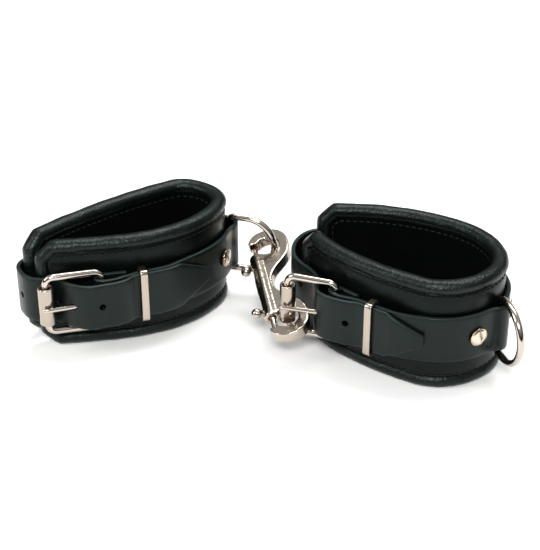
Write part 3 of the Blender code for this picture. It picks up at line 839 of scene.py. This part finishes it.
def make_strap(side, plan):
    path = strap_path(plan, STRAP_STEP)
    lengths = [0.0]
    for a, b in zip(path, path[1:]):
        lengths.append(lengths[-1] + (b - a).length)
    total = lengths[-1]
    section = strap_section()
    rings, edge_highlight_wear = [], []
    for i, p in enumerate(path):
        way = (path[min(i + 1, len(path) - 1)] - path[max(i - 1, 0)]).normalized()
        out = Vector((way.y, -way.x))
        share = min(1.0, (total - lengths[i]) / TIP_TAPER)
        half = (TIP_W + (STRAP_W - TIP_W) * share) / 2 - STRAP_EDGE
        ring = []
        # Points on the rounded edges carry 1 for the painted edge highlight and rubbed dye.
        for width, aside, depth, highlight_wear_share in section:
            ring.append(plan.world(p - out * depth, STRAP_Z + width * half + aside))
            edge_highlight_wear.append(highlight_wear_share)
        rings.append(ring)
    strap = skin(f"{side}_leather_strap", rings, STRAP_LEATHER, edge=edge_highlight_wear)
    cutters = []
    for k in range(HOLES):
        wanted = total - HOLE_FIRST - k * HOLE_PITCH
        i = min(range(1, len(path) - 1), key=lambda j: abs(lengths[j] - wanted))
        way = (path[i + 1] - path[i - 1]).normalized()
        axis = (plan.place.to_3x3() @ Vector((way.y, -way.x, 0))).normalized()
        deep = STRAP_T / 2
        profile = [(-0.3, HOLE_R + 0.3), (0.05, HOLE_R + 0.15), (0.35, HOLE_R), (2 * deep - 0.35, HOLE_R)]
        profile += [(2 * deep - 0.05, HOLE_R + 0.15), (2 * deep + 0.3, HOLE_R + 0.3)]
        base = plan.world(path[i], STRAP_Z) - axis * deep
        cutters.append(turned(f"hole_{k}", base, axis, profile, STRAP_LEATHER, 20))
    heel, roller = Vector(plan.cuff["heel"]), Vector(plan.cuff["roller"])
    first, rest = prong_line(heel, roller)
    start, stop = plan.world(first, STRAP_Z), plan.world(rest, STRAP_Z)
    along = stop - start
    slot = [(0, PRONG_R + 0.5), (along.length * 0.8, PRONG_R + 0.5)]
    cutters.append(turned("prong_hole", start + along * 0.04, along, slot, STRAP_LEATHER, 16))
    s_heel = plan.nearest(heel)
    way, out = plan.out(s_heel)
    reach = FOLD_R + STRAP_T / 2 + 0.3
    box = []
    for d in (-reach, reach + 1.0):
        base = plan.world(heel, STRAP_Z) + way * d
        box.append([base + out * n + UP * z for n, z in ((-5, -2), (5, -2), (5, 2), (-5, 2))])
    cutters.append(skin("fold_slot", box, STRAP_LEATHER))
    cut_with(strap, cutters)
    return done(crisp(strap, 50), f"{side}_cuff", f"{side}_strap", slot="firm_leather")


def prong_line(heel, roller):
    """Where the prong leaves its loop and where it rests on the roller, and its outward direction is between."""
    way = (roller - heel).normalized()
    out = Vector((way.y, -way.x))
    if out.y > 0:
        out = -out
    loop_r = WIRE_R + GAP + PRONG_R
    return heel + out * loop_r + way * 1.2, roller + out * (ROLLER_R + GAP + PRONG_R)


for side, plan in PLANS.items():
    strap = make_strap(side, plan)
    print(strap.name, len(strap.data.polygons), "faces")

# %% [markdown]
# ## Buckles
# The frame is one piece of 3.6 mm wire, bent to a rectangle with its ends butted on the heel bar. A tube of
# rolled strip turns on the far bar, and the prong is a thinner wire, wrapped round the heel bar, with its end
# ground flat where it rests on the roller. Wires are rings along a path, and the roller is turned.

# %% Frames, rollers and prongs


def make_buckle(side, plan):
    heel, roller = Vector(plan.cuff["heel"]), Vector(plan.cuff["roller"])
    first, second = plan.world(heel, STRAP_Z), plan.world(roller, STRAP_Z)
    way = (second - first).normalized()
    r, half = FRAME_BEND, FRAME_H / 2
    path = []
    for middle, a, b in (
        (first + way * r + UP * (half - r), UP * r, -way * r),
        (first + way * r - UP * (half - r), -way * r, -UP * r),
        (second - way * r - UP * (half - r), -UP * r, way * r),
        (second - way * r + UP * (half - r), way * r, UP * r),
    ):
        path += arc(middle, a, b, 0, 90, 10)
    bent = wire(f"{side}_buckle_wire", path, WIRE_R, WIRE_NICKEL, 24, closed=True, hint=way.cross(UP))
    done(bent, f"{side}_buckle", f"{side}_buckle_frame", slot="nickel_plate")

    half = ROLLER_L / 2
    lip = 0.45
    profile = [(-half, ROLLER_R - 1.1), (-half, ROLLER_R - lip)]
    corner = Vector((lip - half, ROLLER_R - lip))
    profile += [(p.x, p.y) for p in arc(corner, Vector((-lip, 0)), Vector((0, lip)), 20, 90, 4)]
    profile += [(-d, r) for d, r in profile[::-1]]
    profile += [(half - 0.5, ROLLER_BORE), (0.5 - half, ROLLER_BORE)]
    tube = turned(f"{side}_roller_tube", second, UP, profile, SATIN_NICKEL, 40, closed=True)
    done(crisp(tube), f"{side}_roller", f"{side}_buckle_roller", slot="nickel_plate")

    start, rest = prong_line(heel, roller)
    way = (roller - heel).normalized()
    out = Vector((way.y, -way.x))
    if out.y > 0:
        out = -out
    loop_r = WIRE_R + GAP + PRONG_R
    ring = arc(heel, out * loop_r, way * loop_r, -250, -20, 22)
    straight = [start + (rest - start) * k / 12 for k in range(13)]
    end = [rest + way * 1.2 - out * 0.08, rest + way * 2.0 - out * 0.22, rest + way * 2.3 - out * 0.3]
    flat = ring + straight + end
    count = len(flat)
    radius = [PRONG_R] * (count - 2) + [PRONG_R * 0.86, PRONG_R * 0.45]
    tip = len(straight) + len(end)
    squeeze = [1.0] * (count - tip // 2) + [1.0 - 0.3 * (k + 1) / (tip // 2) for k in range(tip // 2)]
    path = [plan.world(p, STRAP_Z) for p in flat]
    level = plan.place.to_3x3() @ Vector((*out, 0))
    tongue = wire(f"{side}_prong_wire", path, radius, WIRE_NICKEL, 20, hint=level, flat=squeeze)
    return done(tongue, f"{side}_prong", f"{side}_buckle_prong", slot="nickel_plate")


for side, plan in PLANS.items():
    make_buckle(side, plan)

# %% [markdown]
# ## Keepers, D-rings and rivets
# The keeper is a strip of plated steel bent to a flat loop round strap and tail. The D-ring is wire again: a
# straight bar that lies under the strap, two short arms and a half circle. Each rivet has a low domed head
# with a thin rim, and the rim is where the nickel is thin and the brass shows through.

# %% Keepers


def make_keeper(side, plan):
    s = plan.cuff["keeper"]
    way, out = plan.out(s)
    lay = LAY + plan.cuff["lift"]
    back = lay - STRAP_T / 2 - GAP - KEEPER_T / 2
    front = lay + STACK + STRAP_T / 2 + 0.4 + KEEPER_T / 2
    half, bend, deep = STRAP_W / 2 + 0.5 + KEEPER_T / 2, 1.3, (front - back) / 2
    middle = plan.at(s, (front + back) / 2, STRAP_Z)
    edge = way * KEEPER_W / 2
    rings = []
    for across, rise, begin in ((1, 1, 0), (-1, 1, 90), (-1, -1, 180), (1, -1, 270)):
        corner = middle + out * across * (deep - bend) + UP * rise * (half - bend)
        for k in range(10):
            t = math.radians(begin + 10 * k)
            spoke = out * math.cos(t) + UP * math.sin(t)
            inner, outer = corner + spoke * (bend - KEEPER_T / 2), corner + spoke * (bend + KEEPER_T / 2)
            rings.append([inner - edge, outer - edge, outer + edge, inner + edge])
    loop = skin(f"{side}_keeper_strip", rings, SATIN_NICKEL, closed=True)
    rounded(loop, 0.45, 4)
    return done(loop, f"{side}_keeper_loop", f"{side}_keeper", slot="nickel_plate")


def make_ring(side, plan):
    bar = plan.at(plan.cuff["ring"], BAR_N, STRAP_Z)
    apex = Vector((*plan.cuff["ring_apex"], STRAP_Z)) + SHIFT
    way = (apex - bar).normalized()
    half = RING_H / 2
    stem = (apex - bar).length - half
    corner = half - RING_BEND
    path = arc(bar + way * RING_BEND + UP * corner, UP * RING_BEND, -way * RING_BEND, 0, 90, 8)
    path += arc(bar + way * RING_BEND - UP * corner, -way * RING_BEND, -UP * RING_BEND, 0, 90, 8)
    path += arc(bar + way * stem, -UP * half, way * half, 0, 180, 44)
    ring = wire(f"{side}_ring_wire", path, WIRE_R, WIRE_NICKEL, 24, closed=True, hint=way.cross(UP))
    return done(ring, f"{side}_ring", f"{side}_d_ring", slot="nickel_plate")


for side, plan in PLANS.items():
    make_keeper(side, plan)
    make_ring(side, plan)

# %% Rivets
RIVET_METAL, tree, shader = finish("nickel_over_brass_rivet", "#cfc5b6", 0.2, 1.0)
worn = add(tree, "ShaderNodeAttribute", attribute_name="edge")
place = add(tree, "ShaderNodeTexCoord").outputs["Object"]
patch = add(tree, "ShaderNodeTexNoise", {"Vector": place, "Scale": per_mm(1.5), "Detail": 3.0})
thin = add(tree, "ShaderNodeMath", {0: worn.outputs["Fac"], 1: patch.outputs["Fac"]}, operation="MULTIPLY")
plate = ramp(tree, thin.outputs[0], 0.3, 0.62, colour("#cfc5b6"), colour("#a98a4e"))
tree.links.new(plate, shader.inputs["Base Color"])


def make_rivet(side, plan, place_name, s):
    _, out = plan.out(s)
    foot_n = -OUTER + 1.4 + GAP + 2.2 + 0.75
    base = plan.at(s, foot_n + 0.1, STRAP_Z)
    head = RIDE + STRAP_T / 2 + 0.5 - foot_n
    profile = [(0.3, 0.9), (0.6, 1.4), (head - 0.2, 1.4), (head, RIVET_R - 0.35), (head + 0.12, RIVET_R - 0.05)]
    profile += [(head + 0.3, RIVET_R), (head + 0.45, RIVET_R - 0.2), (head + 0.48, RIVET_R - 0.6)]
    for k in range(1, 9):
        t = k / 8
        rise, reach = math.sin(t * math.pi / 2), math.cos(t * math.pi / 2 * 0.97)
        profile.append((head + 0.45 + 0.85 * rise, (RIVET_R - 0.75) * reach))
    sides = 36
    rivet = turned(f"{side}_{place_name}_rivet_head", base, out, profile, RIVET_METAL, sides)
    wear = [1.0 if 3 <= i <= 7 else 0.0 for i in range(len(profile)) for _ in range(sides)]
    rivet.data.attributes.new("edge", "FLOAT", "POINT").data.foreach_set("value", wear)
    return done(rivet, f"{side}_cuff", f"{side}_{place_name}_rivet", slot="nickel_plate")


for side, plan in PLANS.items():
    for place_name, way in (("front", -1), ("rear", 1)):
        make_rivet(side, plan, place_name, plan.cuff["ring"] + way * RIVET_SPREAD)
        cap = NODES[f"{side}_{place_name}_rivet_cap"]
        cap.data.materials.clear()
        cap.data.materials.append(RIVET_METAL)

# %% [markdown]
# ## The bolt snap
# Two hooks are cast on one barrel. Casting rounds every edge, so the hook's shape is taken from the frame,
# remeshed finely and smoothed until its edges are as soft as a real casting's. The bolts, balls and springs
# are turned or coiled pieces of their own, so that each gate slides.

# %% The snap's own directions
SNAP_PITCH, BARREL_X = 57.0, -7.0
BOLT_R, BOLT_IN, BOLT_OUT, BOLT_TRAVEL, BORE_END = 1.6, 15.0, -5.4, 8.5, 27.4
KNOB_Y, KNOB_R, KNOB_REACH = 11.8, 2.7, 7.2
SPRING_R, SPRING_WIRE_R, SPRING_TURNS = 1.3, 0.25, 9.0

along = Vector((0.171, -0.973, -0.154)).normalized()
level = Vector((-along.y, along.x, 0)).normalized()
rise = along.cross(level)
rise = -rise if rise.z < 0 else rise
roll_turn = math.radians(16.0)
across = level * math.cos(roll_turn) + rise * math.sin(roll_turn)
eye = Vector((8.8, -27.0, 19.5)) + SHIFT - along * SNAP_PITCH

# %% Cast body


def cast_from(node, name, voxel, smoothing, material):
    """A fine, soft-edged copy of a CAD node's shape."""
    data = NODES[node].data.copy()
    shape = bmesh.new()
    shape.from_mesh(data)
    bmesh.ops.remove_doubles(shape, verts=shape.verts, dist=1e-6)
    shape.to_mesh(data)
    shape.free()
    data.materials.clear()
    made = bpy.data.objects.new(name, data)
    bpy.context.scene.collection.objects.link(made)
    step = made.modifiers.new("even", "REMESH")
    step.mode, step.voxel_size, step.use_smooth_shade = "VOXEL", voxel * MM, True
    soft = made.modifiers.new("soft", "SMOOTH")
    soft.factor, soft.iterations = 0.5, smoothing
    baked(made)
    made.data.materials.append(material)
    made.data.polygons.foreach_set("use_smooth", [True] * len(made.data.polygons))
    return made


CAST_VOXEL, CAST_SMOOTHING = 0.32, 40
casting = cast_from("snap_body", "snap_casting", CAST_VOXEL, CAST_SMOOTHING, CAST_NICKEL)
done(casting, "snap", "snap_body", slot="nickel_cast")
print("casting:", len(casting.data.polygons), "faces")

# %% Bolts, balls and springs


def coil_tree():
    tree = bpy.data.node_groups.new("coil_spring", "GeometryNodeTree")
    face = tree.interface
    sizes = {"Radius": SPRING_R * MM, "Height": 0.01, "Turns": SPRING_TURNS, "Wire": SPRING_WIRE_R * MM}
    for name, value in sizes.items():
        socket = face.new_socket(name, in_out="INPUT", socket_type="NodeSocketFloat")
        socket.default_value = value
    face.new_socket("Finish", in_out="INPUT", socket_type="NodeSocketMaterial")
    face.new_socket("Geometry", in_out="OUTPUT", socket_type="NodeSocketGeometry")
    given = add(tree, "NodeGroupInput").outputs
    helix = add(
        tree,
        "GeometryNodeCurveSpiral",
        {
            "Resolution": 20,
            "Rotations": given["Turns"],
            "Start Radius": given["Radius"],
            "End Radius": given["Radius"],
            "Height": given["Height"],
        },
    )
    section = add(tree, "GeometryNodeCurvePrimitiveCircle", {"Resolution": 8, "Radius": given["Wire"]})
    coiled = add(
        tree,
        "GeometryNodeCurveToMesh",
        {"Curve": helix.outputs["Curve"], "Profile Curve": section.outputs["Curve"], "Fill Caps": True},
    )
    smooth = add(tree, "GeometryNodeSetShadeSmooth", {"Geometry": coiled.outputs["Mesh"]})
    steel = add(tree, "GeometryNodeSetMaterial", {"Geometry": smooth.outputs["Geometry"], "Material": given["Finish"]})
    add(tree, "NodeGroupOutput", {"Geometry": steel.outputs["Geometry"]})
    return tree


COILING = coil_tree()


def make_gate(name, y, way):
    go = along * way
    axis = eye + across * BARREL_X + along * y
    body = f"snap_{name}_gate"
    nose = [(BOLT_OUT, 0.35), (BOLT_OUT + 0.12, 0.9), (BOLT_OUT + 0.4, 1.3), (BOLT_OUT + 0.85, BOLT_R)]
    nose += [(BOLT_IN - 0.3, BOLT_R), (BOLT_IN, BOLT_R - 0.3)]
    bolt = turned(f"snap_{name}_gate_bolt", axis, go, nose, WIRE_NICKEL, 24)
    done(crisp(bolt), body, f"snap_{name}_bolt", slot="nickel_plate")
    stem = [(BOLT_R + 0.1, 0.95), (KNOB_REACH - KNOB_R * 0.95, 0.95), (KNOB_REACH - KNOB_R * 0.9, 1.15)]
    for degrees in range(-62, 90, 9):
        t = math.radians(degrees)
        stem.append((KNOB_REACH + KNOB_R * math.sin(t), KNOB_R * math.cos(t)))
    ball = turned(f"snap_{name}_gate_ball", axis + go * KNOB_Y, -across, stem, CAST_NICKEL, 28)
    done(ball, body, f"snap_{name}_knob", slot="nickel_plate")
    length = BORE_END - BOLT_IN - 0.6 - 2 * SPRING_WIRE_R
    data = bpy.data.meshes.new(f"snap_{name}_coil")
    coil = bpy.data.objects.new(data.name, data)
    bpy.context.scene.collection.objects.link(coil)
    with_tree(coil, COILING, Height=length * MM, Finish=SPRING_STEEL)
    start = axis + go * (BOLT_IN + 0.3 + SPRING_WIRE_R)
    turn = UP.rotation_difference(go).to_matrix().to_4x4()
    coil.data.transform(Matrix.Translation(start * MM) @ turn)
    done(coil, "snap", f"snap_{name}_spring", slot="spring_steel")
    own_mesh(coil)


make_gate("left", 0.0, 1.0)
make_gate("right", SNAP_PITCH, -1.0)

# %% [markdown]
# ## Floor, light and camera
# The cuffs stand on a plain white sheet. A soft box in front and above gives the broad sheen along the rolls,
# a second on the left wraps round the straps' curves, a wide one overhead lights the tops, and the world
# fills the shade. The camera stands in front and 31 degrees up, far enough back for a long lens.

# %% Floor
data = bpy.data.meshes.new("floor_sheet")
data.from_pydata([(-3, -3, 0), (3, -3, 0), (3, 3, 0), (-3, 3, 0)], [], [(0, 1, 2, 3)])
floor = bpy.data.objects.new("floor_sheet", data)
paper, _, _ = finish("matt_white_paper", "#f7f7f6", 0.9)
data.materials.append(paper)
bpy.context.scene.collection.objects.link(floor)


# %% Lights


def soft_box(name, at, aim, width, height, power):
    data = bpy.data.lights.new(name, "AREA")
    data.shape, data.size, data.size_y, data.energy = "RECTANGLE", width, height, power
    light = bpy.data.objects.new(name, data)
    light.location = at
    light.rotation_euler = (Vector(aim) - Vector(at)).to_track_quat("-Z", "Y").to_euler()
    bpy.context.scene.collection.objects.link(light)


AIM = (0.0, 0.0, 0.03)
soft_box("front_box", (-0.10, -1.3, 1.25), AIM, 0.55, 0.4, 24.0)
soft_box("left_box", (-1.2, -0.35, 0.8), AIM, 0.35, 0.7, 8.0)
soft_box("top_box", (0.25, 0.55, 1.5), AIM, 1.3, 0.7, 24.0)

# %% World
# A pale room overhead that falls nearly to black towards the floor, so that polished metal has something
# dark to show.
world = bpy.data.worlds.new("pale_room")
world.use_nodes = True
tree = world.node_tree
way = add(tree, "ShaderNodeTexCoord").outputs["Generated"]
height = add(tree, "ShaderNodeSeparateXYZ", {"Vector": way}).outputs["Z"]
sky = ramp(tree, height, 0.12, 0.62, colour("#1c1a18"), colour("#f7f8f9"))
tree.links.new(sky, tree.nodes["Background"].inputs["Color"])
tree.nodes["Background"].inputs["Strength"].default_value = 0.55
bpy.context.scene.world = world
bpy.context.scene.view_settings.view_transform = "Standard"

# %% Camera
AIM_AT = Vector((0.0034, 0.0147, 0.0256))
DISTANCE, ELEVATION = 0.760, math.radians(31.28)
data = bpy.data.cameras.new("long_lens")
data.sensor_fit, data.sensor_width = "HORIZONTAL", 36.0
data.lens = 97.9
camera = bpy.data.objects.new("camera", data)
camera.location = AIM_AT + Vector((0, -math.cos(ELEVATION), math.sin(ELEVATION))) * DISTANCE
camera.rotation_euler = (AIM_AT - camera.location).to_track_quat("-Z", "Y").to_euler()
bpy.context.scene.collection.objects.link(camera)
bpy.context.scene.camera = camera
